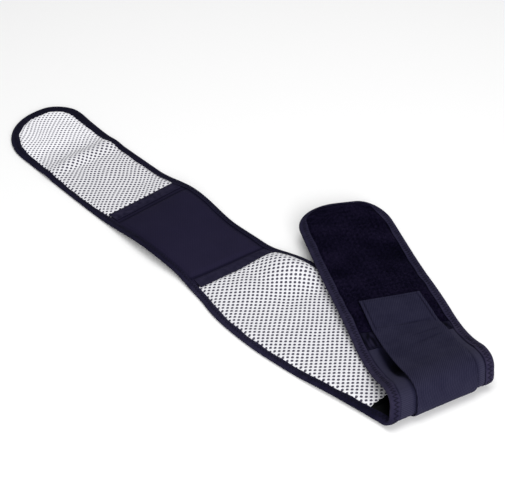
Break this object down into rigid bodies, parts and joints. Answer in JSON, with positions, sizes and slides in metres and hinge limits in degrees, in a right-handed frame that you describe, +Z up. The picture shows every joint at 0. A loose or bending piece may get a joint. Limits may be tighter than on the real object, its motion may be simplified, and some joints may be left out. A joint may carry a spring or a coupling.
{
  "type": "heated lumbar belt",
  "caption": "Long soft waist belt with rounded ends, white air mesh lining, dark heat pad, elastic arm rolled back on itself, plush closing tab and wide tension strap.",
  "frame": {"origin": "middle of the belt's bounding box, on the floor that it lies on", "axes": "+X along the straight left arm towards the roll, +Y across the arm towards its far edge, +Z up"},
  "size_m": [0.892, 0.318, 0.0374],
  "materials": {
    "shell_cloth": "matte knit",
    "air_mesh": "matte perforated mesh",
    "pad_cloth": "smooth matte",
    "tape_cloth": "matte woven tape",
    "binding_cloth": "matte knit binding",
    "elastic_cloth": "fine ribbed elastic",
    "plush_cloth": "brushed loop pile",
    "hook_cloth": "small moulded hooks",
    "strap_cloth": "fine twill"
  },
  "bodies": {
    "root": {"outer_shell": "shell_cloth", "mesh_panel_left": "air_mesh", "heat_panel": "pad_cloth", "mesh_panel_back": "air_mesh", "seam_tape_left": "tape_cloth", "seam_tape_right": "tape_cloth", "edge_binding": "binding_cloth", "elastic_panel": "elastic_cloth", "joining_band": "elastic_cloth", "loop_panel": "plush_cloth", "tab_backing": "shell_cloth", "tab_hook_patch": "hook_cloth", "tension_strap": "strap_cloth", "strap_hook_patch": "hook_cloth"}
  },
  "joints": []
}
